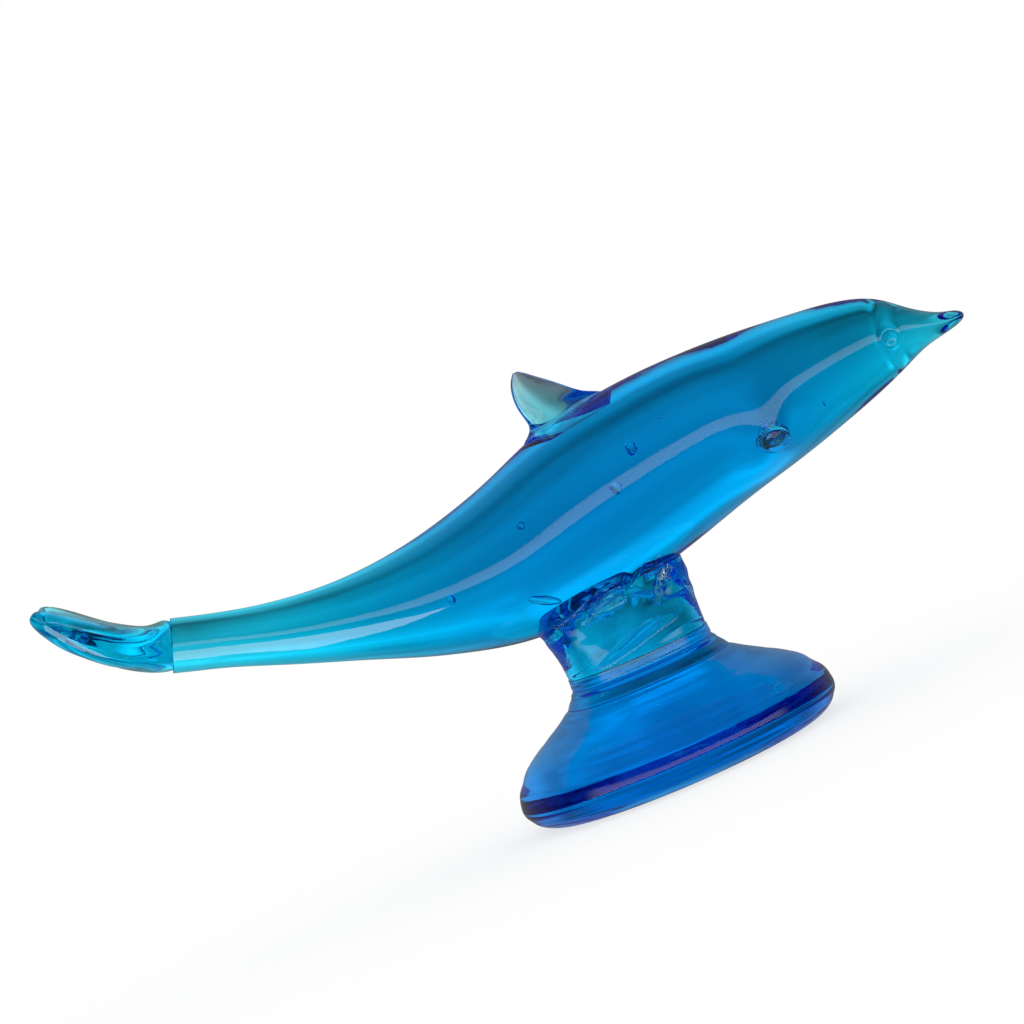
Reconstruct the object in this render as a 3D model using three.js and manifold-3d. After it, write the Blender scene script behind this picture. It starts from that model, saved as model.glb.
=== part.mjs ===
// A solid crystal glass dolphin on a round foot, hot-worked at the furnace.
// Each bit of glass that is gathered and stuck on separately is its own mesh: the foot, the neck that joins
// it to the belly, the body with its beak, the dorsal fin, two pectoral fins and two tail flukes.
// Millimetres, +X towards the beak, +Z up, +Y the dolphin's left. The origin is the centre of the foot's
// flat underside.
import * as THREE from "three";
import { mergeVertices } from "three/addons/utils/BufferGeometryUtils.js";
import Module from "manifold-3d";

const wasm = await Module();
wasm.setup();

// ---- Driving dimensions ----

const weldGap = 0.3; // clearance between two bits, where the real glass has flowed together

const footRadius = 40;
const footFlatRadius = 31; // flat that the figurine stands on
const footBulgeHeight = 6.6; // height of the foot's widest ring
const footHeight = 30.4; // joint between the foot and the neck
const shoulderPull = 12.4; // how far the foot's outline runs straight up from its widest ring
const waistRadius = 17.5;
const waistPull = 10.6; // how far the outline runs straight down from the waist

const neckTopLength = 19.3; // half length of the neck under the belly
const neckTopWidth = 13.6; // half width there
const neckTopShift = -0.8; // middle of the neck under the belly, from the foot's axis

const bodyLength = 205.5; // tail joint to beak tip
const bodyDepth = 45; // unit of the body outline's heights
const bodyWidth = 41; // flank to flank at the thickest place
const bodyRise = 35.5; // straight reference axis of the body above the foot
const bodyCentreAlong = 0.498; // station of the body that stands over the foot's centre
const beakTipLength = 2.6; // rounded end of the beak
const stockEndLength = 4.5; // rounded end of the tail stock, inside the flukes

const dorsalAlong = 0.498; // station under the dorsal fin's tip
const dorsalHeight = 15; // tip above the back at that station
const dorsalThickness = 5.6; // unit of the fin's thickness

const pectoralAlong = 0.721; // station of the fin's root
const pectoralAngle = 28; // degrees below the flank's widest line at which the fin leaves it
const pectoralLength = 6.5; // out from the flank
const pectoralDroop = 8; // degrees below the horizontal that it points
const pectoralTipLength = 7; // sheared end, along the body
const pectoralTipDepth = 5;

const flukeAlong = 0.035; // station of the tail stock where the flukes begin
const flukeSpan = 27; // centre line to tip
const flukeSweep = 31.8; // tip behind the flukes' beginning
const flukeRise = 22.4; // tip above it
const flukeDip = 1.6; // rise of the curve's control point, halfway back
const flukeNotch = 0.86; // share of the sweep where the lobes part
const flukeThickness = 13.2; // where they begin
const flukeTipThickness = 6.2;

// ---- Outlines ----

// Body seen from the side and above. along: 0 at the tail joint, 1 at the beak tip. back, belly: shares of
// bodyDepth above the axis. flank: share of half the bodyWidth.
const bodyStations = [
  // along, back, belly, flank
  [0.0, 0.385, 0.083, 0.35],
  [0.06, 0.302, -0.002, 0.365],
  [0.13, 0.226, -0.125, 0.43],
  [0.21, 0.186, -0.258, 0.555],
  [0.3, 0.212, -0.408, 0.745],
  [0.4, 0.322, -0.512, 0.93],
  [0.5, 0.488, -0.486, 1.0],
  [0.6, 0.556, -0.388, 0.985],
  [0.7, 0.562, -0.258, 0.91],
  [0.8, 0.528, -0.15, 0.76],
  [0.88, 0.474, -0.042, 0.56],
  [0.915, 0.41, 0.02, 0.465],
  [0.945, 0.295, 0.075, 0.38],
  [0.972, 0.222, 0.1, 0.295],
  [1.0, 0.186, 0.13, 0.19],
];

// Dorsal fin in level slices. up: share of dorsalHeight above the back. rear, front: millimetres from the tip
// station. half: share of dorsalThickness on each side.
const dorsalStations = [
  // up, rear, front, half
  [-0.4, -13, 27, 1.2],
  [-0.23, -8.5, 26.5, 1.15],
  [-0.07, -4.8, 26, 0.92],
  [0.0, -3.2, 24.5, 0.8],
  [0.11, -2.2, 21.5, 0.68],
  [0.23, -2.6, 15.4, 0.58],
  [0.29, -2.8, 12.6, 0.55],
  [0.42, -3.3, 10.2, 0.48],
  [0.61, -3.4, 7.2, 0.37],
  [0.81, -2.8, 3.6, 0.23],
  [0.94, -1.6, 1.3, 0.1],
  [1.0, -0.7, -0.5, 0.03],
];

// Neck. up: 0 on the foot, 1 at the belly. length, width: 0 at the waist's radius, 1 at the top sizes.
const neckStations = [
  // up, length, width
  [0.0, 0, 0],
  [0.33, 0.12, 0.16],
  [0.63, 0.5, 0.6],
  [0.92, 1.0, 0.96],
  [1.22, 0.97, 1.3],
  [1.5, 0.1, 1.7],
];

// Pectoral fin. out: share of its length from the flank. girth: 1 at the sheared end.
const pectoralStations = [
  // out, girth
  [-0.7, 2.6],
  [-0.2, 2.35],
  [0.0, 1.95],
  [0.18, 1.5],
  [0.45, 1.18],
  [0.8, 1.02],
  [1.0, 1.0],
];

// ---- Helpers ----

// Smooth readings between the rows of a table whose first column rises.
function table(rows) {
  const times = rows.map((row) => row[0]);
  const values = rows.flatMap((row) => row.slice(1));
  const curve = new THREE.CubicInterpolant(times, values, rows[0].length - 1);
  return (at) => Array.from(curve.evaluate(at));
}

// How full a rounded end is at a distance from its pole.
function roundEnd(distance, length) {
  const share = Math.min(distance / length, 1);
  return Math.sqrt(share * (2 - share));
}

// count numbers from low to high, both included.
function spread(low, high, count) {
  return Array.from({ length: count }, (_, i) => THREE.MathUtils.lerp(low, high, i / (count - 1)));
}

// A closed ring of points, one at each of around even turns.
function ring(around, pointAt) {
  return Array.from({ length: around }, (_, i) => {
    const turn = (2 * Math.PI * i) / around;
    return pointAt(Math.cos(turn), Math.sin(turn));
  });
}

// A closed skin through the rings, with a fan to the middle of the ring at each end.
function loft(rings) {
  const around = rings[0].length;
  const last = rings.length - 1;
  const points = rings.flat();
  const index = [];
  for (let r = 0; r < last; r++)
    for (let i = 0; i < around; i++) {
      const [a, b] = [r * around + i, r * around + ((i + 1) % around)];
      index.push(a, b, b + around, a, b + around, a + around);
    }
  for (const r of [0, last]) {
    const hub = points.length;
    points.push(rings[r].reduce((sum, p) => sum.add(p), new THREE.Vector3()).divideScalar(around));
    for (let i = 0; i < around; i++) {
      const [a, b] = [r * around + i, r * around + ((i + 1) % around)];
      index.push(...(r ? [hub, a, b] : [hub, b, a]));
    }
  }
  return new THREE.BufferGeometry().setFromPoints(points).setIndex(index);
}

// The geometry as a manifold-3d solid with its faces pointing out.
function solid(geometry) {
  geometry.deleteAttribute("normal");
  geometry.deleteAttribute("uv");
  const merged = mergeVertices(geometry, 1e-4);
  const vertProperties = merged.attributes.position.array;
  const triVerts = new Uint32Array(merged.index.array);
  const made = new wasm.Manifold(new wasm.Mesh({ numProp: 3, vertProperties, triVerts }));
  if (made.volume() > 0) return made;
  triVerts.reverse();
  return new wasm.Manifold(new wasm.Mesh({ numProp: 3, vertProperties, triVerts }));
}

// The solid as a geometry to draw.
function surface(made) {
  const mesh = made.getMesh();
  const geometry = new THREE.BufferGeometry();
  geometry.setAttribute("position", new THREE.BufferAttribute(mesh.vertProperties, 3));
  geometry.setIndex(new THREE.BufferAttribute(mesh.triVerts, 1));
  geometry.computeVertexNormals();
  return geometry;
}

// ---- Foot ----

function footSolid() {
  const rimReach = footRadius - footFlatRadius;
  const profile = new THREE.Path();
  profile.moveTo(0, 0);
  profile.lineTo(footFlatRadius, 0);
  profile.absellipse(footFlatRadius, footBulgeHeight, rimReach, footBulgeHeight, -Math.PI / 2, 0, false);
  profile.bezierCurveTo(
    footRadius, footBulgeHeight + shoulderPull,
    waistRadius, footHeight - waistPull,
    waistRadius, footHeight,
  );
  profile.lineTo(0, footHeight);
  return solid(new THREE.LatheGeometry(profile.getPoints(10), 60).rotateX(Math.PI / 2));
}

// ---- Body ----

const readBody = table(bodyStations);

// Middle, half depth and half width of the body at a station.
function bodyAt(along) {
  const [back, belly, flank] = readBody(along);
  return {
    x: (along - bodyCentreAlong) * bodyLength,
    z: footHeight + bodyRise + ((back + belly) / 2) * bodyDepth,
    halfDepth: ((back - belly) / 2) * bodyDepth,
    halfWidth: (flank * bodyWidth) / 2,
  };
}

// The body, with its skin moved out by grow. Its rings lie closer together towards both ends.
function bodySolid(grow) {
  const length = bodyLength + 2 * grow;
  const turns = spread(0, Math.PI, 54).slice(1, -1);
  return solid(loft(turns.map((turn) => {
    const along = (1 - Math.cos(turn)) / 2;
    const { x, z, halfDepth, halfWidth } = bodyAt(along);
    const full = roundEnd(along * length, stockEndLength) * roundEnd((1 - along) * length, beakTipLength);
    const [deep, wide] = [halfDepth * full + grow, halfWidth * full + grow];
    const placed = x + grow * (2 * along - 1);
    return ring(36, (c, s) => new THREE.Vector3(placed, wide * s, z + deep * c));
  })));
}

// The space that every bit stuck on the body keeps clear.
const bodyClearance = bodySolid(weldGap);

// ---- Neck ----

function neckSolid() {
  const read = table(neckStations);
  const { z, halfDepth } = bodyAt(bodyCentreAlong);
  const [low, belly] = [footHeight + weldGap, z - halfDepth];
  const rings = spread(0, neckStations.at(-1)[0], 13).map((up) => {
    const [length, width] = read(up);
    const halfLength = THREE.MathUtils.lerp(waistRadius, neckTopLength, length);
    const halfWidth = THREE.MathUtils.lerp(waistRadius, neckTopWidth, width);
    const height = THREE.MathUtils.lerp(low, belly, up);
    const middle = neckTopShift * length;
    return ring(44, (c, s) => new THREE.Vector3(middle + halfLength * c, halfWidth * s, height));
  });
  return solid(loft(rings)).subtract(bodyClearance);
}

// ---- Dorsal fin ----

// Each slice is fuller at the rear and narrows to the leading edge.
function dorsalSolid() {
  const read = table(dorsalStations);
  const [low, high] = [dorsalStations[0][0], dorsalStations.at(-1)[0]];
  const { x, z, halfDepth } = bodyAt(dorsalAlong);
  const taper = 0.45;
  const rings = spread(0, Math.PI / 2, 19).map((turn) => {
    const up = THREE.MathUtils.lerp(low, high, Math.sin(turn));
    const [rear, front, half] = read(up);
    const [middle, reach] = [(rear + front) / 2, (front - rear) / 2];
    const height = z + halfDepth + up * dorsalHeight;
    return ring(26, (c, s) => {
      const side = half * dorsalThickness * s * (1 - taper * c);
      return new THREE.Vector3(x + middle + reach * c, side, height);
    });
  });
  return solid(loft(rings)).subtract(bodyClearance);
}

// ---- Pectoral fins ----

// side is 1 for the left fin and -1 for the right one.
function pectoralSolid(side) {
  const read = table(pectoralStations);
  const [low, high] = [pectoralStations[0][0], pectoralStations.at(-1)[0]];
  const { x, z, halfDepth, halfWidth } = bodyAt(pectoralAlong);
  const [below, droop] = [pectoralAngle, pectoralDroop].map(THREE.MathUtils.degToRad);
  const root = new THREE.Vector3(x, side * halfWidth * Math.cos(below), z - halfDepth * Math.sin(below));
  const out = new THREE.Vector3(0, side * Math.cos(droop), -Math.sin(droop));
  const up = new THREE.Vector3(0, side * Math.sin(droop), Math.cos(droop));
  const rings = spread(low, high, 12).map((reach) => {
    const [girth] = read(reach);
    const middle = root.clone().addScaledVector(out, reach * pectoralLength);
    return ring(24, (c, s) => {
      const point = middle.clone().addScaledVector(up, (girth * pectoralTipDepth * s) / 2);
      point.x += (girth * pectoralTipLength * c) / 2;
      return point;
    });
  });
  return solid(loft(rings)).subtract(bodyClearance);
}

// ---- Tail flukes ----

// One lobe, from the centre plane out to its tip. Its chords lie on a sheet that curls up behind the tail.
function flukeSolid(side) {
  const { x, z } = bodyAt(flukeAlong);
  const sheet = new THREE.QuadraticBezierCurve(
    new THREE.Vector2(x, z),
    new THREE.Vector2(x - flukeSweep / 2, z + flukeDip),
    new THREE.Vector2(x - flukeSweep, z + flukeRise),
  );
  const [edgeFullness, tipRound, tipLead] = [0.7, 0.3, 0.86];
  const rings = spread(0, Math.PI / 2, 19).slice(0, -1).map((turn) => {
    const out = Math.sin(turn);
    const full = roundEnd(1 - out, tipRound);
    const lead = tipLead * out ** 1.4;
    const trail = THREE.MathUtils.lerp(flukeNotch, 1, out ** 0.8);
    const [middle, reach] = [(lead + trail) / 2, ((trail - lead) / 2) * THREE.MathUtils.lerp(0.4, 1, full)];
    const y = side * (weldGap / 2 + out * flukeSpan);
    return ring(26, (c, s) => {
      const at = middle + reach * c;
      const [point, tangent] = [sheet.getPoint(at), sheet.getTangent(at)];
      const thickness = THREE.MathUtils.lerp(flukeThickness, flukeTipThickness, at) * full;
      const rise = (Math.sign(s) * Math.abs(s) ** edgeFullness * thickness) / 2;
      return new THREE.Vector3(point.x - tangent.y * rise, y, point.y + tangent.x * rise);
    });
  });
  return solid(loft(rings)).subtract(bodyClearance);
}

// ---- Glass ----

function glass(colour, opacity) {
  return new THREE.MeshStandardMaterial({
    color: colour,
    roughness: 0.03,
    metalness: 0,
    transparent: true,
    opacity,
  });
}

const aquaGlass = glass(0x0a8fc8, 0.75);
const paleGlass = glass(0x7fc4d8, 0.5);
const deepBlueGlass = glass(0x0a5ccc, 0.85);

// ---- Figurine ----

const figurine = new THREE.Group();

function add(name, made, material) {
  const mesh = new THREE.Mesh(surface(made), material);
  mesh.name = name;
  figurine.add(mesh);
}

add("foot", footSolid(), deepBlueGlass);
add("neck", neckSolid(), aquaGlass);
add("body", bodySolid(0), aquaGlass);
add("dorsal_fin", dorsalSolid(), paleGlass);
for (const [name, side] of [["left", 1], ["right", -1]]) {
  add(`pectoral_fin_${name}`, pectoralSolid(side), aquaGlass);
  add(`tail_fluke_${name}`, flukeSolid(side), aquaGlass);
}

export default figurine;
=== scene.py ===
"""A solid glass dolphin on a round foot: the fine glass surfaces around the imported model, and the studio."""
import math

import bmesh
import bpy
import numpy as np
from mathutils import Euler, Matrix, Vector, noise


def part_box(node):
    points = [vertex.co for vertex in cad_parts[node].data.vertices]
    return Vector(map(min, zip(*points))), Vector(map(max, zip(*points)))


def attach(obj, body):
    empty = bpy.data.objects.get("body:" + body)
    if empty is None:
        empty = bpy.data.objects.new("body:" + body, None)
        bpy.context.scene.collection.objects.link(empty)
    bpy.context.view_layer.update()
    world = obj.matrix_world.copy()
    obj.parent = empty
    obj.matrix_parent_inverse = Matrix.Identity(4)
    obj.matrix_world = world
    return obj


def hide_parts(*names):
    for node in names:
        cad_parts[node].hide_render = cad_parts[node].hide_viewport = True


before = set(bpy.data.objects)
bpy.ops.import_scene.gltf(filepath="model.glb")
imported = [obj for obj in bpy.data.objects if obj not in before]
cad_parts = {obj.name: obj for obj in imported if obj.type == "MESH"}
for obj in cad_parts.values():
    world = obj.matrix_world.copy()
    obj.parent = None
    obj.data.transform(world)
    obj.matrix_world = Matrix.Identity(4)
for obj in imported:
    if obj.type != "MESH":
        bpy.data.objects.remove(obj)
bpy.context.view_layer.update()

MM = 0.001
LAP = 0.3 * MM  # how far the neck runs on into the foot, and the flukes into the tail stock
BEYOND_END = 0.12 * MM  # the round ends reach this far past their last ring

# ---- Readings from the frame ----


def cad_points(node):
    return np.array([v.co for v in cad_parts[node].data.vertices])


def cad_rings(node, axis):
    """The lowest and highest corner of each flat ring of a CAD node, in order along the axis."""
    points = cad_points(node)
    places = np.round(points[:, axis], 5)
    rings = [points[places == place] for place in np.unique(places)]
    return np.array([[ring.min(axis=0), ring.max(axis=0)] for ring in rings])


def spline(values, count, odd_low=False, odd_high=False):
    """count samples of the smooth curve steered by the values. Past each end it carries on as a mirror
    image, or turned over where that end is odd."""
    low, high = (-1 if odd_low else 1), (-1 if odd_high else 1)
    padded = np.concatenate([[low * values[1]], values, [high * values[-2]]])
    at = np.linspace(0, len(values) - 1, count)
    first = np.minimum(at.astype(int), len(values) - 2)
    f = at - first
    weights = [(1 - f) ** 3, 3 * f ** 3 - 6 * f ** 2 + 4, -3 * f ** 3 + 3 * f ** 2 + 3 * f + 1, f ** 3]
    padded = np.append(padded, padded[-1])  # read only with a weight of 0
    return sum(w * padded[first + k] for k, w in enumerate(weights)) / 6


# ---- Mesh helpers ----


def new_object(name, vertices, faces):
    mesh = bpy.data.meshes.new(name)
    mesh.from_pydata([tuple(v) for v in vertices], [], faces)
    mesh.update()
    piece = bpy.data.objects.new(name, mesh)
    bpy.context.collection.objects.link(piece)
    return piece


def loft(name, rings):
    """A closed skin: rings is an array of rings of points, and the first and last ring are single points."""
    count, around = rings.shape[0] - 2, rings.shape[1]
    vertices = np.concatenate([rings[0, :1], rings[1:-1].reshape(-1, 3), rings[-1, :1]])
    last = len(vertices) - 1
    faces = []
    for i in range(around):
        j = (i + 1) % around
        faces.append((0, 1 + j, 1 + i))
        for r in range(count - 1):
            a, b = 1 + r * around, 1 + (r + 1) * around
            faces.append((a + i, a + j, b + j, b + i))
        end = 1 + (count - 1) * around
        faces.append((last, end + i, end + j))
    piece = new_object(name, vertices, faces)
    tidy(piece)
    return piece


def tidy(piece, sharp_angle=34):
    """Merges doubles, turns the faces out and shades the piece smooth, except across sharp edges."""
    shape = bmesh.new()
    shape.from_mesh(piece.data)
    bmesh.ops.remove_doubles(shape, verts=shape.verts, dist=0.002 * MM)
    bmesh.ops.dissolve_degenerate(shape, edges=shape.edges, dist=0.001 * MM)
    bmesh.ops.recalc_face_normals(shape, faces=shape.faces)
    if shape.calc_volume(signed=True) < 0:
        bmesh.ops.reverse_faces(shape, faces=shape.faces)
    shape.to_mesh(piece.data)
    shape.free()
    piece.data.polygons.foreach_set("use_smooth", [True] * len(piece.data.polygons))
    piece.data.set_sharp_from_angle(angle=math.radians(sharp_angle))


def cut(piece, cutter):
    """Splits the piece's faces along the cutter's skin. This was meant to take the inside away too, but the
    boolean leaves it in, because the cutter crosses itself at its two tips."""
    step = piece.modifiers.new("cut", "BOOLEAN")
    step.operation, step.object, step.solver = "DIFFERENCE", cutter, "EXACT"
    graph = bpy.context.evaluated_depsgraph_get()
    made = bpy.data.meshes.new_from_object(piece.evaluated_get(graph))
    piece.modifiers.clear()
    piece.data = made
    shape = bmesh.new()
    shape.from_mesh(made)
    bmesh.ops.triangulate(shape, faces=shape.faces)
    shape.to_mesh(made)
    shape.free()
    tidy(piece)


def shear(piece, point, out):
    """Cuts the piece flat, taking off what lies beyond the point in the outward direction."""
    shape = bmesh.new()
    shape.from_mesh(piece.data)
    everything = shape.verts[:] + shape.edges[:] + shape.faces[:]
    made = bmesh.ops.bisect_plane(shape, geom=everything, plane_co=point, plane_no=out, clear_outer=True)
    rim = [edge for edge in made["geom_cut"] if isinstance(edge, bmesh.types.BMEdge)]
    filled = bmesh.ops.contextual_create(shape, geom=rim)["faces"]
    bmesh.ops.triangulate(shape, faces=filled)
    shape.to_mesh(piece.data)
    shape.free()
    tidy(piece)


def ripple(points, scale, seed):
    """Smooth noise between -1 and 1 at each point; scale is its waves per metre along X, Y and Z."""
    start = Vector((seed, 2.3 * seed, -seed))
    return np.array([noise.noise(Vector(p) + start) for p in points * np.array(scale)])


def corners(piece):
    return np.array([v.co for v in piece.data.vertices])


def swell(piece, amount):
    """Moves each corner out along its normal by its own amount, in metres."""
    normals = np.array([v.normal for v in piece.data.vertices])
    moved = corners(piece) + normals * amount[:, None]
    piece.data.vertices.foreach_set("co", moved.ravel())
    piece.data.update()


def add_void(piece, centre, half_size, turn, dented, seed):
    """Puts a closed hollow inside the glass: an air bubble, or a fold that closed over."""
    count, around = 22, 28
    c, s = turns(around)
    place = -np.cos(np.linspace(0, math.pi, count))
    girth = np.sqrt(np.maximum(1 - place ** 2, 0))
    rings = np.stack([
        np.repeat(place[:, None], around, axis=1), girth[:, None] * c[None, :], girth[:, None] * s[None, :],
    ], axis=2)
    flat = rings.reshape(-1, 3)
    flat = flat * (1 + dented * ripple(flat, (1.6, 1.6, 1.6), seed))[:, None]
    spin = np.array(Euler([math.radians(a) for a in turn]).to_matrix())
    flat = (flat * np.array(half_size) * MM) @ spin.T + np.array(centre) * MM
    hollow = loft("void", flat.reshape(rings.shape))
    shape = bmesh.new()
    shape.from_mesh(hollow.data)
    bmesh.ops.reverse_faces(shape, faces=shape.faces)
    shape.from_mesh(piece.data)
    shape.to_mesh(piece.data)
    shape.free()
    bpy.data.objects.remove(hollow)


def add_voids(piece, voids, first_seed):
    for number, (centre, half_size, turn, dented) in enumerate(voids):
        add_void(piece, centre, half_size, turn, dented, first_seed + number)


def capped(rings):
    """The rings with a single point added before the first and after the last, at the middle of each."""
    middles = rings.mean(axis=1, keepdims=True)
    first, last = [np.repeat(middles[[end]], rings.shape[1], axis=1) for end in (0, -1)]
    return np.concatenate([first, rings, last])


def turns(around):
    angle = np.linspace(0, 2 * math.pi, around, endpoint=False)
    return np.cos(angle), np.sin(angle)


def ease(x):
    x = np.clip(x, 0, 1)
    return x * x * (3 - 2 * x)


# ---- Body ----

BODY_AROUND, BODY_ALONG = 160, 420  # corners round the body, and rings along it
CUTTER_AROUND = 96
STOCK_END = 6.5 * MM  # length of the tail stock's rounded end
JOINT_BACK, JOINT_SLANT = 2.4 * MM, 20  # joint with the flukes: before the CAD's end, and degrees
HEAD_START, TIP_WIDTH = 66 * MM, 4.4 * MM  # the head narrows evenly from this X to this half width
TIP_LENGTH = 6 * MM  # over which the beak rounds off instead


class Body:
    """The body's middle line and half sizes along X, smoothed from the CAD rings."""

    def __init__(self, count):
        rings = cad_rings("body", 0)
        x = np.concatenate([[rings[0, 0, 0] - BEYOND_END], rings[:, 0, 0], [rings[-1, 0, 0] + BEYOND_END]])
        zero = [0]
        deep = np.concatenate([zero, (rings[:, 1, 2] - rings[:, 0, 2]) / 2, zero])
        wide = np.concatenate([zero, (rings[:, 1, 1] - rings[:, 0, 1]) / 2, zero])
        middle = (rings[:, 1, 2] + rings[:, 0, 2]) / 2
        middle = np.concatenate([middle[:1], middle, middle[-1:]])
        self.x = spline(x, count)
        self.x[0], self.x[-1] = x[0], x[-1]
        self.z = spline(middle, count)
        self.deep = spline(deep, count, True, True)
        self.wide = self.softened(spline(wide, count, True, True))
        self.deep, self.wide = self.straightened(self.deep), self.straightened(self.wide)

    def straightened(self, half):
        """Half sizes with the tail stock's rounded end opened out, to be cut flat at the joint."""
        start = self.x[0] + STOCK_END
        near = np.interp([start, start + STOCK_END], self.x, half)
        straight = near[0] + (near[1] - near[0]) / STOCK_END * (self.x - start)
        half = np.where(self.x < start, straight, half)
        half[0] = 0
        return half

    def softened(self, wide):
        """Half widths with the step from head to beak, as seen from above, evened out."""
        tip = self.x[-1]
        straight = np.interp(self.x, [HEAD_START, tip], [np.interp(HEAD_START, self.x, wide), TIP_WIDTH])
        share = 0.9 * ease((self.x - HEAD_START) / (12 * MM)) * ease((tip - self.x) / TIP_LENGTH)
        return wide + (straight - wide) * share

    def at(self, x):
        """Middle height, half depth and half width at x."""
        return [np.interp(x, self.x, values) for values in (self.z, self.deep, self.wide)]

    def skin(self, around):
        c, s = turns(around)
        return np.stack([
            np.repeat(self.x[:, None], around, axis=1),
            self.wide[:, None] * s[None, :],
            self.z[:, None] + self.deep[:, None] * c[None, :],
        ], axis=2)

    def flank(self, x, below, side):
        """The point on the skin at x, so many degrees below the widest line."""
        z, deep, wide = self.at(x)
        angle = math.radians(below)
        return Vector((x, side * wide * math.cos(angle), z - deep * math.sin(angle)))

    def half_width(self, x, height):
        """How far the flank is from the middle plane at x and a height, and 0 outside the body."""
        z, deep, wide = self.at(x)
        return wide * np.sqrt(np.maximum(1 - ((height - z) / np.maximum(deep, 0.1 * MM)) ** 2, 0))


body = Body(BODY_ALONG)


EYE_X, EYE_HEIGHT = 83 * MM, 74.9 * MM
BEAK_START, BEAK_ROOT = 85 * MM, 7 * MM  # where the lines along the beak begin, and over what length
FIN_ROOT = (-3.2 * MM, 19.5 * MM)  # where the dorsal fin's root starts and ends along X
FIN_ROOT_HALF = 3.4 * MM  # unit of its half width
FIN_FULLNESS, FIN_TAPER = 0.88, 0.6  # drop shape from above: fullness, and how much thinner its front is
NECK_SHIFT = -0.8 * MM  # middle of the neck under the belly
NECK_SEAT = (15.5 * MM, 7.5 * MM)  # half length and half width of the level place that the neck is welded to
PECTORAL_BELOW = 28  # degrees below the widest line of the flank
PULL_HEIGHT, PULL_REACH = 4.8 * MM, 5.5 * MM  # the cone of skin pulled out round a pectoral fin
BUBBLES = [
    # centre, half sizes, turn, dent
    ((9.5, -11.5, 68.4), (1.5, 0.9, 1.3), (0, 20, 0), 0.25),
    ((-14, -11, 68.4), (1.0, 0.7, 0.9), (0, 0, 0), 0.2),
    ((-16.0, -9.0, 52.6), (3.8, 0.6, 1.1), (0, 24, 8), 0.1),
    ((25.5, -9, 78), (0.35, 0.3, 0.3), (0, 0, 0), 0.1),
    ((-34, 6, 60), (0.9, 0.6, 0.7), (0, 10, 0), 0.2),
    ((18, 10, 72), (1.3, 0.8, 1.0), (0, -15, 0), 0.25),
    ((62, 4, 70), (0.5, 0.4, 0.4), (0, 0, 0), 0.1),
]


def pectoral_x():
    low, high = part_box("pectoral_fin_right")
    return (low.x + high.x) / 2


def pull(away):
    """How far the skin is pulled out at a distance from a pectoral fin's root."""
    return PULL_HEIGHT * np.exp(-np.sqrt((away / PULL_REACH) ** 2 + 0.09))


def eye_place(side):
    z, deep, wide = body.at(EYE_X)
    lift = (EYE_HEIGHT - z) / deep
    return np.array([EYE_X, side * wide * math.sqrt(1 - lift ** 2), EYE_HEIGHT])


def broad_relief(points):
    """Uneven skin of glass shaped while soft, and the cone that each pectoral fin is pulled from."""
    out = 0.22 * MM * ripple(points, (22, 22, 22), 1) + 0.13 * MM * ripple(points, (13, 60, 60), 4)
    for side in (-1, 1):
        root = np.array(body.flank(pectoral_x(), PECTORAL_BELOW, side))
        out += pull(np.linalg.norm(points - root, axis=1))
    return out


def fine_relief(points):
    """Pressed eyes in their raised rims, and the lines that the pincers drew along the beak."""
    out = 0.03 * MM * ripple(points, (60, 60, 60), 7)
    out += 0.07 * MM * ripple(points, (25, 420, 420), 9) * ease((points[:, 0] - BEAK_START) / BEAK_ROOT)
    for side in (-1, 1):
        away = np.linalg.norm(points - eye_place(side), axis=1) / MM
        rim = 0.25 * np.exp(-((away - 2.2) / 0.8) ** 2)
        pit = 0.5 * np.exp(-(away / 1.2) ** 2)
        out += (rim - pit) * MM
    return out


def make_body():
    piece = loft("glass_body", body.skin(BODY_AROUND))
    points = corners(piece)
    swell(piece, broad_relief(points) + fine_relief(points))
    seat(piece, 0)
    at_tail_joint(piece, 0, True)
    add_voids(piece, BUBBLES, first_seed=0)
    return piece


def seat(piece, deeper):
    """Presses the back level under the dorsal fin, and the belly level on the neck, straight across."""
    points = corners(piece)
    x, height = points[:, 0], points[:, 2]
    z, deep, wide = body.at(x)
    round_radius = wide ** 2 / np.maximum(deep, 1 * MM)
    c = np.clip((2 * x - FIN_ROOT[1] - FIN_ROOT[0]) / (FIN_ROOT[1] - FIN_ROOT[0]), -1, 1)
    under_fin = FIN_ROOT_HALF * np.sqrt(1 - c ** 2) * (FIN_FULLNESS - FIN_TAPER * c)
    on_neck = NECK_SEAT[1] * np.sqrt(np.maximum(1 - ((x - NECK_SHIFT) / NECK_SEAT[0]) ** 2, 0))
    back, belly = under_fin ** 2 / (2 * round_radius), on_neck ** 2 / (2 * round_radius)
    height = np.where(under_fin > 0, np.minimum(height, z + deep - back - deeper), height)
    points[:, 2] = np.where(on_neck > 0, np.maximum(height, z - deep + belly + deeper), height)
    piece.data.vertices.foreach_set("co", points.ravel())
    tidy(piece)


def at_tail_joint(piece, forward, keep_front):
    """Cuts a piece off flat at the slanted joint of tail stock and flukes, or a little forward of it."""
    slant = math.radians(JOINT_SLANT)
    x = body.x[0] + JOINT_BACK + forward
    out = Vector((-math.cos(slant), 0, math.sin(slant)))
    shear(piece, (x, 0, body.at(x)[0]), out if keep_front else -out)


def make_cutter():
    """The body a little smaller: the space that the neck and the fins were meant to stay out of."""
    piece = loft("cutter", body.skin(CUTTER_AROUND))
    swell(piece, broad_relief(corners(piece)) - LAP)
    seat(piece, LAP)
    return piece


# ---- Foot ----


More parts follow.
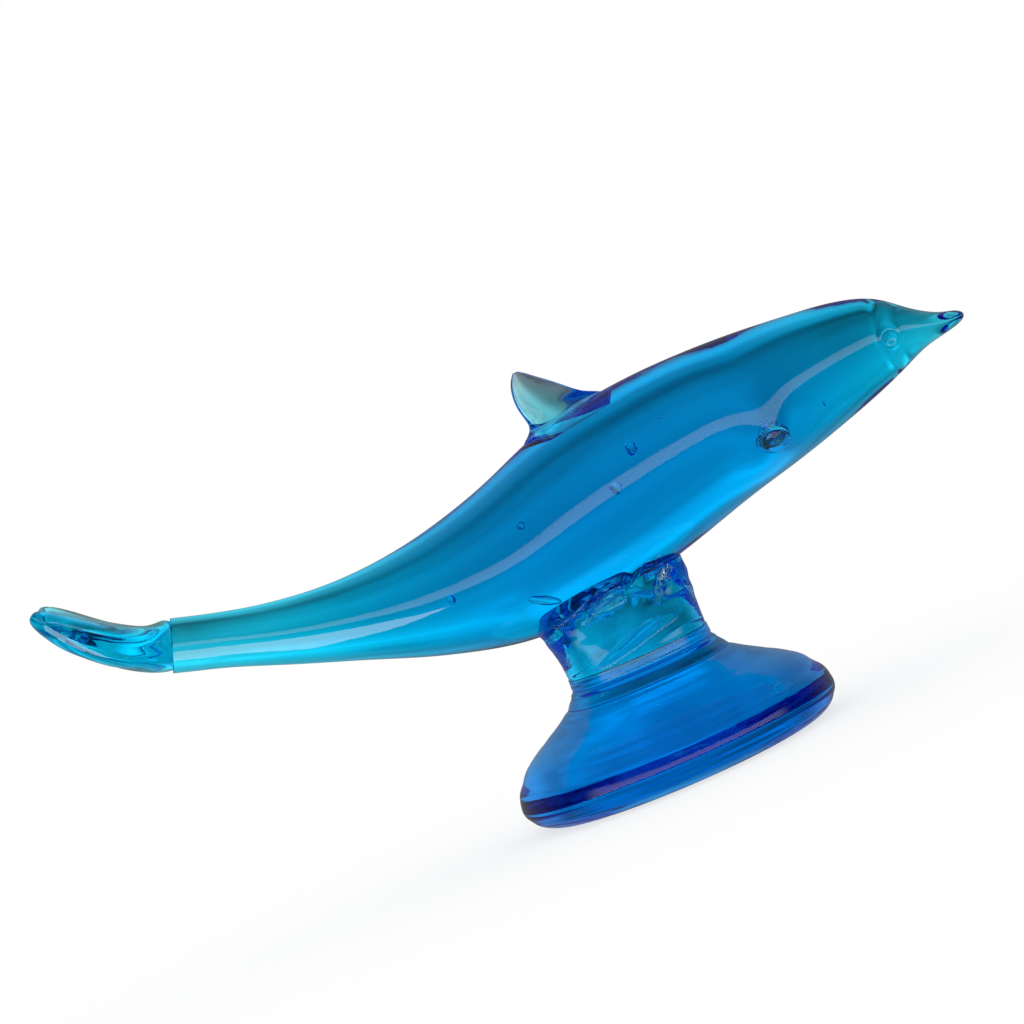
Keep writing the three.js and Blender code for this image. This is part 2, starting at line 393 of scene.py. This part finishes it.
FOOT_MARKS = [
    # height in mm, depth in mm, half width in mm: lines left by the tool that the foot was turned against
    (28.0, 0.4, 0.5),
    (26.4, 0.14, 0.3),
    (24.2, 0.28, 0.5),
    (19.0, 0.08, 0.5),
    (12.6, 0.4, 1.6),
    (3.6, 0.15, 0.8),
]
FOOT_PLAIN = 29.6 * MM  # above this the foot is smooth, where the neck is welded on
FOOT_BUBBLES = [
    # centre, half sizes, turn, dent
    ((8, -12, 26), (0.6, 0.5, 0.4), (0, 0, 0), 0.2),
    ((-2, -20, 16), (0.45, 0.4, 0.35), (0, 0, 0), 0.1),
    ((15, 18, 12), (0.5, 0.5, 0.4), (0, 0, 0), 0.2),
]


def make_foot():
    rings = cad_rings("foot", 2)
    height, radius = rings[:, 0, 2], rings[:, 1, 0]
    count, around = 150, 160
    z, r = spline(height, count), spline(radius, count)
    z[0], r[0] = height[0], radius[0]
    z[-1] = height[-1] + LAP
    c, s = turns(around)
    under = np.linspace(0, 1, 8)[:-1]
    over = np.linspace(1, 0, 6)[1:]
    z = np.concatenate([np.full(len(under), z[0]), z, np.full(len(over), z[-1])])
    r = np.concatenate([under * r[0], r, over * r[-1]])
    piece = loft("glass_foot", np.stack([
        r[:, None] * c[None, :], r[:, None] * s[None, :], np.repeat(z[:, None], around, axis=1),
    ], axis=2))
    points = corners(piece)
    height = points[:, 2]
    marks = sum(-depth * MM * np.exp(-((height / MM - at) / half) ** 2) for at, depth, half in FOOT_MARKS)
    marks += 0.14 * MM * ripple(points, (16, 16, 130), 3) + 0.06 * MM * ripple(points, (30, 30, 420), 5)
    off_axis = ease((np.hypot(points[:, 0], points[:, 1]) - 12 * MM) / (4 * MM))
    off_ends = ease(height / (1.5 * MM)) * (1 - ease((height - FOOT_PLAIN) / (0.8 * MM)))
    swell(piece, marks * off_axis * off_ends)
    add_voids(piece, FOOT_BUBBLES, first_seed=20)
    return piece


# ---- Neck ----

NECK_LENGTH, NECK_WIDTH = 19.3 * MM, 13.6 * MM  # half sizes under the belly
# share of the neck's height, and how far its half length and half width have gone there from round to oval
NECK_LEVELS = [0, 0.33, 0.63, 0.92, 1.22, 1.5]
NECK_LENGTHS = [0, 0.12, 0.5, 1.0, 0.97, 0.1]
NECK_WIDTHS = [0, 0.16, 0.6, 0.96, 1.3, 1.7]
NECK_POCKETS = [
    # centre, half sizes, turn, dent: folds that closed over air
    ((-0.8, -10.5, 34.4), (7.2, 0.45, 1.5), (25, -17, 0), 0.25),
    ((-4.0, -9.8, 43.2), (5.2, 1.4, 1.9), (0, -8, 4), 0.5),
    ((-2.5, -8.6, 45.6), (5.2, 0.9, 0.9), (0, -14, 6), 0.5),
    ((9.6, -9.6, 42.8), (4.4, 1.3, 1.5), (0, -58, 10), 0.5),
    ((5.2, -8.4, 42.4), (3.4, 1.1, 0.8), (0, 22, 0), 0.6),
    ((12.4, -8.6, 45.2), (2.8, 0.8, 1.0), (0, -40, 0), 0.5),
    ((-14.5, -3.5, 36.5), (0.8, 1.6, 2.6), (0, 14, 0), 0.5),
    ((15.6, -2.5, 39.5), (0.7, 1.5, 2.4), (0, -8, 0), 0.5),
    ((3.5, 9.4, 43.6), (4.6, 1.3, 1.2), (0, -8, 0), 0.5),
    ((-8.5, 9.2, 42.6), (3.2, 1.0, 0.9), (0, 30, 0), 0.5),
]
LIP = 1.7 * MM  # how thick the neck's edge lies on the belly
SEAM_DEPTH = 0.35 * MM  # groove at the weld to the foot
CRUMPLE_LOW, CRUMPLE_RISE = 33 * MM, 9 * MM  # where the skin starts to crumple, and how slowly


def neck_folds(x, height, front):
    """How deep the skin of the neck is creased: one deep crease splits the lip on each broad side, and finer
    ones run round below it."""
    x, height = x / MM, height / MM
    middle = np.where(front, 3.6 + 0.35 * (height - 45), -5.5 - 0.3 * (height - 45))
    crease = 6.3 * np.exp(-((x - middle) / 1.8) ** 2) * ease((height - 40.4) / 6.5)
    crease += 3.0 * ease((np.abs(x) - 5) / 11) * ease((height - 42) / 5)
    slant = 0.55 * np.exp(-((height - 33.2 - 0.22 * x) / 1.6) ** 2) * np.where(front, 1, 0.4)
    return (crease - slant) * MM


def neck_tube(count, around):
    """The neck's plain outline: round on the foot, oval under the belly, and on up into the body."""
    radius = (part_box("neck")[1].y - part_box("neck")[0].y) / 2
    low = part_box("foot")[1].z
    z, deep = body.at(0.0)[:2]
    up = np.linspace(0, NECK_LEVELS[-1], count)
    length = spline(np.interp(up, NECK_LEVELS, NECK_LENGTHS)[::6], count)
    width = spline(np.interp(up, NECK_LEVELS, NECK_WIDTHS)[::6], count)
    seam = SEAM_DEPTH * np.exp(-(up / 0.03) ** 2)
    half_length = radius - seam + (NECK_LENGTH - radius) * length
    half_width = radius - seam + (NECK_WIDTH - radius) * width
    c, s = turns(around)
    x = NECK_SHIFT * length[:, None] + half_length[:, None] * c[None, :]
    y = half_width[:, None] * s[None, :]
    height = np.repeat((low + (z - deep - low) * up)[:, None], around, axis=1)
    return x, y, height


def rounded_on_belly(out, skin):
    """Distances out from the middle plane, with the neck's edge rounded over onto the skin of the belly."""
    over = out - skin
    rounded = skin + np.sqrt(np.maximum(over, 0) * LIP)
    return np.where((over > 0) & (over < LIP) & (skin > 0), rounded, out)


def make_neck(cutter):
    count, around = 90, 200
    x, y, height = neck_tube(count, around)
    c, s = turns(around)
    points = np.stack([x, y, height], axis=2).reshape(-1, 3)
    upper = ease((height - CRUMPLE_LOW) / CRUMPLE_RISE)
    crumple = ripple(points, (170, 170, 230), 2) * 0.5 + ripple(points, (60, 60, 330), 6) * 0.35
    out = np.abs(y) - neck_folds(x, height, y < 0) * np.abs(s)[None, :] ** 1.5
    out += crumple.reshape(x.shape) * MM * upper * np.minimum(np.abs(y) / (6 * MM), 1)
    out = rounded_on_belly(out, body.half_width(x, height))
    y = np.sign(y) * np.maximum(out, 0.4 * np.abs(y))
    x = x * (1 + 0.018 * upper * ripple(points, (0, 120, 420), 8).reshape(x.shape) * np.abs(c)[None, :])
    piece = loft("glass_neck", capped(np.stack([x, y, height], axis=2)))
    cut(piece, cutter)
    add_voids(piece, NECK_POCKETS, first_seed=40)
    return piece


# ---- Fins ----


DORSAL_THICKNESS = 5.6 * MM
DORSAL_ROWS = np.array([
    # share of the fin's height, rear and front in mm, half width as a share of the thickness
    [-0.4, -9, 17, 0.95],
    [-0.23, -7, 18.5, 0.9],
    [-0.07, -4.8, 19.5, 0.78],
    [0.0, -3.2, 19.5, 0.72],
    [0.11, -2.2, 18.4, 0.64],
    [0.23, -2.6, 15.0, 0.57],
    [0.29, -2.8, 12.6, 0.55],
    [0.42, -3.3, 10.2, 0.48],
    [0.61, -3.4, 7.2, 0.37],
    [0.81, -2.8, 3.6, 0.23],
    [0.94, -1.6, 1.3, 0.1],
    [1.0, -0.7, -0.4, 0.02],
])
DORSAL_SHEAR = (-0.6, -0.8, 0.06)  # the way that the fin's sheared face looks


def make_dorsal(cutter):
    z, deep = body.at(0.0)[:2]
    back, tip = z + deep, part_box("dorsal_fin")[1].z
    count, around = 80, 96
    up, rear, front, half = [spline(DORSAL_ROWS[:, k], count) for k in range(4)]
    c, s = turns(around)
    middle, reach = (rear + front) / 2 * MM, (front - rear) / 2 * MM
    thick = half * DORSAL_THICKNESS
    rings = np.stack([
        middle[:, None] + reach[:, None] * c[None, :],
        thick[:, None] * s[None, :] * (FIN_FULLNESS - FIN_TAPER * c[None, :]),
        np.repeat((back + up * (tip - back))[:, None], around, axis=1),
    ], axis=2)
    piece = loft("glass_dorsal_fin", capped(rings))
    points = corners(piece)
    thin = ease((tip - points[:, 2]) / (2.5 * MM))
    swell(piece, 0.1 * MM * thin * ripple(points, (120, 120, 120), 12))
    rear_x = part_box("dorsal_fin")[0].x
    shear(piece, (rear_x + 2.9 * MM, -1.5 * MM, 97 * MM), DORSAL_SHEAR)
    cut(piece, cutter)
    return piece


# girth times the tip's half sizes, and height over the flank in mm: a root, a stub, and a sheared end
PECTORAL_PROFILE = [
    (0.0, -1.6), (0.8, -1.5), (1.12, -1.1), (1.2, -0.5), (1.2, -0.12), (1.18, 0.2), (1.16, 0.6), (1.13, 1.2),
    (1.1, 2.1), (1.07, 3.3), (1.04, 4.7), (1.0, 5.8), (0.92, 6.3), (0.78, 6.35), (0.5, 6.1), (0.0, 5.9),
]
PECTORAL_HALF_LENGTH, PECTORAL_HALF_DEPTH, PECTORAL_DROOP = 3.5 * MM, 2.5 * MM, 8
STUB_FREE, SHEAR_SLOPE = 3.4 * MM, 0.45  # height at which the stub has left the skin, and how its end slants


def make_pectoral(name, side, cutter):
    node = "pectoral_fin_" + name
    root = np.array(body.flank(pectoral_x(), PECTORAL_BELOW, side))
    droop = math.radians(PECTORAL_DROOP)
    out = np.array([0, side * math.cos(droop), -math.sin(droop)])
    up = np.array([0, side * math.sin(droop), math.cos(droop)])
    count, around = 76, 72
    c, s = turns(around)
    girth, height = [spline(np.array(PECTORAL_PROFILE)[:, k], count) for k in (0, 1)]
    girth[0], girth[-1] = 0, 0
    rings = []
    for g, h in zip(girth, height * MM):
        along, rise = PECTORAL_HALF_LENGTH * g * c, PECTORAL_HALF_DEPTH * g * s
        flat = root + np.outer(along, [1, 0, 0]) + np.outer(rise, up)
        skin = flat.copy()
        skin[:, 1] = side * body.half_width(flat[:, 0], flat[:, 2])
        skin += np.outer(pull(np.hypot(along, rise)) * 0.9, out)
        free = ease(h / STUB_FREE)
        rings.append(skin * (1 - free) + flat * free + h * out - np.outer(SHEAR_SLOPE * rise * free, out))
    piece = loft("glass_" + node, np.array(rings))
    points = corners(piece)
    swell(piece, 0.16 * MM * ripple(points, (200, 200, 200), 11))
    cut(piece, cutter)
    return piece


# ---- Flukes ----


FLUKE_START = 7.1 * MM  # before the CAD body's end
FLUKE_SWEEP, FLUKE_RISE, FLUKE_DIP = 31.8 * MM, 22.4 * MM, 1.6 * MM
FLUKE_SPAN = 27 * MM
FLUKE_NOTCH = 0.86  # share of the sweep where the lobes part
FLUKE_THICK, FLUKE_TIP_THICK = 13.1 * MM, 6.2 * MM
JOINT_SHARE, JOINT_REACH = 0.16, 0.12  # the thickening at the joint: where along the sweep, and how long
JOINT_LIFT, JOINT_THICKER = 0.75 * MM, 2.1 * MM
LOBE_LAP = 0.05 * MM  # how far each lobe runs on past the middle plane


def make_fluke(name, side):
    start_x = body.x[0] + FLUKE_START
    start_z = body.at(start_x)[0]
    p0 = np.array([start_x, start_z])
    p1 = np.array([start_x - FLUKE_SWEEP / 2, start_z + FLUKE_DIP])
    p2 = np.array([start_x - FLUKE_SWEEP, start_z + FLUKE_RISE])
    count, around = 60, 96
    c, s = turns(around)
    rings = []
    for turn in np.linspace(0, math.pi / 2, count)[:-1]:
        out = math.sin(turn)
        share = min((1 - out) / 0.3, 1)
        full = math.sqrt(share * (2 - share))
        lead = 0.86 * out ** 1.4
        trail = FLUKE_NOTCH + (1 - FLUKE_NOTCH) * out ** 0.8
        at = (lead + trail) / 2 + (trail - lead) / 2 * (0.4 + 0.6 * full) * c
        point = np.outer((1 - at) ** 2, p0) + np.outer(2 * at * (1 - at), p1) + np.outer(at ** 2, p2)
        tangent = np.outer(2 * (1 - at), p1 - p0) + np.outer(2 * at, p2 - p1)
        tangent /= np.linalg.norm(tangent, axis=1, keepdims=True)
        at_joint = np.exp(-((at - JOINT_SHARE) / JOINT_REACH) ** 2)
        point[:, 1] += JOINT_LIFT * at_joint
        thick = (FLUKE_THICK + (FLUKE_TIP_THICK - FLUKE_THICK) * at + JOINT_THICKER * at_joint) * full
        lift = np.sign(s) * np.abs(s) ** 0.7 * thick / 2
        y = np.full(around, side * (out * FLUKE_SPAN - LOBE_LAP))
        x, z = point[:, 0] - tangent[:, 1] * lift, point[:, 1] + tangent[:, 0] * lift
        rings.append(np.stack([x, y, z], axis=1))
    piece = loft("glass_tail_fluke_" + name, capped(np.array(rings)))
    points = corners(piece)
    away = ease((body.x[0] - points[:, 0]) / (8 * MM))
    swell(piece, 0.28 * MM * away * ripple(points, (45, 120, 120), 13 + side))
    at_tail_joint(piece, LAP, False)
    return piece


# ---- Glass ----


def loss(red, green, blue):
    """The absorption colour and density at which each colour fades at its own rate per metre."""
    density = 1.02 * max(red, green, blue)
    return [1 - rate / density for rate in (red, green, blue)], density


STREAK_TONE = (0.9, 0.97, 0.99, 1)  # faint swirls of deeper colour just under the skin
HAZE_ROUGHNESS = 0.035  # where the skin is a little dull
SKIN_UNEVENNESS = 0.03 * MM  # fire-polished skin, between its high and low places


def noise_at(tree, where, scale, detail):
    """Noise from 0 to 1, with so many waves per metre along X, Y and Z."""
    stretch = tree.nodes.new("ShaderNodeVectorMath")
    stretch.operation = "MULTIPLY"
    tree.links.new(where, stretch.inputs[0])
    stretch.inputs[1].default_value = scale
    node = tree.nodes.new("ShaderNodeTexNoise")
    node.inputs["Scale"].default_value = 1.0
    node.inputs["Detail"].default_value = detail
    tree.links.new(stretch.outputs[0], node.inputs["Vector"])
    return node.outputs[0]


def glass(name, absorption):
    """Clear glass that light fades in as it travels."""
    tint, density = absorption
    material = bpy.data.materials.new(name)
    material.use_nodes = True
    nodes, links = material.node_tree.nodes, material.node_tree.links
    shader = nodes["Principled BSDF"]
    where = nodes.new("ShaderNodeTexCoord").outputs["Object"]
    streaks = noise_at(material.node_tree, where, (30, 110, 110), 3)
    tone = mix(material.node_tree, step(material.node_tree, streaks, 0.35, 0.7), (1, 1, 1, 1), STREAK_TONE)
    links.new(tone, shader.inputs["Base Color"])
    haze = step(material.node_tree, noise_at(material.node_tree, where, (60, 60, 90), 4), 0.56, 0.8)
    links.new(math_node(material.node_tree, "MULTIPLY", haze, HAZE_ROUGHNESS), shader.inputs["Roughness"])
    bump = nodes.new("ShaderNodeBump")
    bump.inputs["Distance"].default_value = SKIN_UNEVENNESS
    links.new(noise_at(material.node_tree, where, (160, 260, 260), 2), bump.inputs["Height"])
    links.new(bump.outputs[0], shader.inputs["Normal"])
    shader.inputs["IOR"].default_value = 1.5
    shader.inputs["Transmission Weight"].default_value = 1.0
    volume = nodes.new("ShaderNodeVolumeAbsorption")
    volume.inputs["Color"].default_value = (*tint, 1)
    volume.inputs["Density"].default_value = density
    links.new(volume.outputs["Volume"], nodes["Material Output"].inputs["Volume"])
    return material


# ---- Studio ----


# Bright or dark places around the figurine: azimuth from +Y towards +X, elevation, angle inside which it is
# full, angle at which it has faded out, and the grey added there.
SEEN_THROUGH = [
    (0, 33, 2, 14, 0.45),
    (-35, 20, 8, 40, -0.2),
    (24, -27, 6, 20, 0.15),
    (-22, -17, 6, 26, -0.2),
    (14, 22, 3, 14, 0.25),
    (-88, 5, 15, 48, 0.5),
    (88, 5, 15, 48, 0.5),
]
SEEN_BOUNCED = [
    (0, 5, 35, 85, 0.18),
]
# A long low window in front, as its reflection sees it: where each edge fades, by the direction's Z, Z, Y.
WINDOW_LOW, WINDOW_HIGH, WINDOW_SIDES = (-0.045, -0.01), (0.26, 0.2), (-0.12, -0.4)
WINDOW_GREY = 1.5
CLOUD_SCALE, CLOUD_GREYS = 2.6, (0.8, 1.4)  # unevenness of what is seen through the glass


def make_world():
    world = bpy.data.worlds.new("studio")
    bpy.context.scene.world = world
    world.use_nodes = True
    world.cycles.sampling_method = "NONE"
    tree = world.node_tree
    nodes, links = tree.nodes, tree.links
    nodes.clear()
    out = nodes.new("ShaderNodeOutputWorld")
    background = nodes.new("ShaderNodeBackground")
    links.new(background.outputs[0], out.inputs[0])
    where = nodes.new("ShaderNodeTexCoord").outputs["Generated"]
    split = nodes.new("ShaderNodeSeparateXYZ")
    links.new(where, split.inputs[0])
    height = nodes.new("ShaderNodeMapRange")
    height.inputs["From Min"].default_value = -1
    links.new(split.outputs["Z"], height.inputs["Value"])
    through = ramp(tree, height.outputs[0], [
        (0.0, 0.8), (0.1, 0.88), (0.17, 0.6), (0.23, 0.28), (0.29, 0.42), (0.36, 0.55), (0.45, 0.54),
        (0.55, 0.72), (0.7, 0.78), (0.85, 0.65), (1.0, 0.65),
    ])
    through = with_patches(tree, through, where, SEEN_THROUGH)
    bounced = ramp(tree, height.outputs[0], [(0.0, 0.01), (0.5, 0.015), (1.0, 0.03)])
    bounced = with_patches(tree, bounced, where, SEEN_BOUNCED)
    window = math_node(tree, "MULTIPLY", step(tree, split.outputs["Z"], *WINDOW_LOW), WINDOW_GREY)
    window = math_node(tree, "MULTIPLY", window, step(tree, split.outputs["Z"], *WINDOW_HIGH))
    window = math_node(tree, "MULTIPLY", window, step(tree, split.outputs["Y"], *WINDOW_SIDES))
    bounced = math_node(tree, "ADD", bounced, window)
    cloud = nodes.new("ShaderNodeTexNoise")
    cloud.inputs["Scale"].default_value = CLOUD_SCALE
    cloud.inputs["Detail"].default_value = 2.0
    cloud.inputs["Distortion"].default_value = 0.6
    links.new(where, cloud.inputs["Vector"])
    uneven = nodes.new("ShaderNodeMapRange")
    uneven.inputs["From Min"].default_value, uneven.inputs["From Max"].default_value = 0.3, 0.7
    uneven.inputs["To Min"].default_value, uneven.inputs["To Max"].default_value = CLOUD_GREYS
    links.new(cloud.outputs[0], uneven.inputs["Value"])
    through = math_node(tree, "MULTIPLY", through, uneven.outputs[0])
    path = nodes.new("ShaderNodeLightPath")
    bare = mix(tree, path.outputs["Is Glossy Ray"], (1, 1, 1, 1), bounced)
    seen = mix(tree, path.outputs["Is Transmission Ray"], bare, through)
    links.new(seen, background.inputs["Color"])


def step(tree, value, start, end):
    """0 where the value is at start or before it, 1 at end or past it, and eased between."""
    node = tree.nodes.new("ShaderNodeMapRange")
    node.interpolation_type = "SMOOTHSTEP"
    node.inputs["From Min"].default_value, node.inputs["From Max"].default_value = start, end
    tree.links.new(value, node.inputs["Value"])
    return node.outputs[0]


def math_node(tree, operation, *values):
    node = tree.nodes.new("ShaderNodeMath")
    node.operation = operation
    for socket, value in zip(node.inputs, values):
        if isinstance(value, (int, float)):
            socket.default_value = value
        else:
            tree.links.new(value, socket)
    return node.outputs[0]


def with_patches(tree, base, where, patches):
    """The base grey with soft round patches added."""
    for azimuth, elevation, full, faded, grey in patches:
        a, e = math.radians(azimuth), math.radians(elevation)
        dot = tree.nodes.new("ShaderNodeVectorMath")
        dot.operation = "DOT_PRODUCT"
        tree.links.new(where, dot.inputs[0])
        dot.inputs[1].default_value = (math.sin(a) * math.cos(e), math.cos(a) * math.cos(e), math.sin(e))
        spot = tree.nodes.new("ShaderNodeMapRange")
        spot.interpolation_type = "SMOOTHSTEP"
        spot.inputs["From Min"].default_value = math.cos(math.radians(faded))
        spot.inputs["From Max"].default_value = math.cos(math.radians(full))
        spot.inputs["To Max"].default_value = grey
        tree.links.new(dot.outputs["Value"], spot.inputs["Value"])
        base = math_node(tree, "ADD", base, spot.outputs[0])
    return math_node(tree, "MAXIMUM", base, 0.0)


def ramp(tree, value, stops):
    """Greys by value, eased between the stops."""
    node = tree.nodes.new("ShaderNodeValToRGB")
    node.color_ramp.interpolation = "EASE"
    elements = node.color_ramp.elements
    while len(elements) < len(stops):
        elements.new(0.5)
    for element, (place, grey) in zip(elements, stops):
        element.position = place
        element.color = (grey, grey, grey, 1)
    tree.links.new(value, node.inputs[0])
    return node.outputs[0]


def mix(tree, factor, a, b):
    node = tree.nodes.new("ShaderNodeMix")
    node.data_type = "RGBA"
    tree.links.new(factor, node.inputs["Factor"])
    for socket, value in ((node.inputs[6], a), (node.inputs[7], b)):
        if isinstance(value, tuple):
            socket.default_value = value
        else:
            tree.links.new(value, socket)
    return node.outputs[2]


FLOOR_REACH = 6.0
FLOOR_GREY, FLOOR_GLOW = 0.3, 0.7  # a pale floor that keeps only a faint shadow


def make_floor():
    reach = FLOOR_REACH
    rim = [(-reach, -reach, 0), (reach, -reach, 0), (reach, reach, 0), (-reach, reach, 0)]
    floor = new_object("floor", rim, [(0, 1, 2, 3)])
    material = bpy.data.materials.new("pale_floor")
    material.use_nodes = True
    shader = material.node_tree.nodes["Principled BSDF"]
    shader.inputs["Base Color"].default_value = (FLOOR_GREY, FLOOR_GREY, FLOOR_GREY, 1)
    shader.inputs["Roughness"].default_value = 1.0
    shader.inputs["Specular IOR Level"].default_value = 0.0
    shader.inputs["Emission Color"].default_value = (1, 1, 1, 1)
    shader.inputs["Emission Strength"].default_value = FLOOR_GLOW
    floor.data.materials.append(material)
    floor.visible_transmission = False
    floor.visible_glossy = False


def softbox(name, place, turn, size, power):
    light = bpy.data.lights.new(name, "AREA")
    light.shape, light.size, light.size_y, light.energy = "RECTANGLE", *size, power
    lamp = bpy.data.objects.new(name, light)
    bpy.context.collection.objects.link(lamp)
    lamp.location = place
    lamp.rotation_euler = Euler([math.radians(a) for a in turn])
    lamp.visible_camera = False
    lamp.visible_diffuse = False
    lamp.visible_transmission = False
    return lamp


CAMERA_AZIMUTH, CAMERA_ELEVATION, CAMERA_ROLL = -4.0, 2.0, 23.4  # degrees
FRAME_WIDTH = 241.05 * MM  # width of the view at the figurine
LENS, SENSOR = 150.0, 36.0
AIM = Vector((-14.1 * MM, 0, 72.6 * MM))


def make_camera():
    azimuth, elevation = math.radians(CAMERA_AZIMUTH), math.radians(CAMERA_ELEVATION)
    level = math.cos(elevation)
    back = Vector((math.sin(azimuth) * level, -math.cos(azimuth) * level, math.sin(elevation)))
    data = bpy.data.cameras.new("camera")
    data.lens, data.sensor_width = LENS, SENSOR
    data.clip_start, data.clip_end = 0.05, 50
    camera = bpy.data.objects.new("camera", data)
    bpy.context.collection.objects.link(camera)
    camera.location = AIM + back * (FRAME_WIDTH * LENS / SENSOR)
    straight = (-back).to_track_quat("-Z", "Y").to_matrix()
    camera.rotation_euler = (straight @ Matrix.Rotation(math.radians(-CAMERA_ROLL), 3, "Z")).to_euler()
    bpy.context.scene.camera = camera


# ---- Putting it together ----

make_camera()
make_world()
make_floor()
softbox("tail_card", (-0.135, -0.085, 0.005), (160, 0, 20), (0.1, 0.09), 0.11)
aqua = glass("aqua_glass", loss(280, 29, 6.5))
deep = glass("deep_blue_glass", loss(200, 22, 5))
pale = glass("pale_glass", loss(240, 30, 9))
# painted light: the flukes get a paler copy of the aqua glass, so they come out lighter where their long inner
# paths would leave them dark
tail = glass("painted_light_tail_glass", loss(130, 13, 3.5))
light = glass("neck_glass", loss(230, 25, 5.5))

cutter = make_cutter()
pieces = [
    (make_foot(), "foot", deep, "deep_blue_glass"),
    (make_neck(cutter), "neck", light, "aqua_glass"),
    (make_body(), "body", aqua, "aqua_glass"),
    (make_dorsal(cutter), "dorsal_fin", pale, "pale_glass"),
]
for name, side in (("left", 1), ("right", -1)):
    pieces.append((make_pectoral(name, side, cutter), "pectoral_fin_" + name, aqua, "aqua_glass"))
    pieces.append((make_fluke(name, side), "tail_fluke_" + name, tail, "aqua_glass"))
for piece, node, material, slot in pieces:
    piece.data.materials.clear()
    piece.data.materials.append(material)
    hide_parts(node)
    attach(piece, "root")
bpy.data.objects.remove(cutter)

scene = bpy.context.scene
scene.view_settings.view_transform = "Standard"
scene.cycles.max_bounces = 24
scene.cycles.transmission_bounces = 24
scene.cycles.glossy_bounces = 12
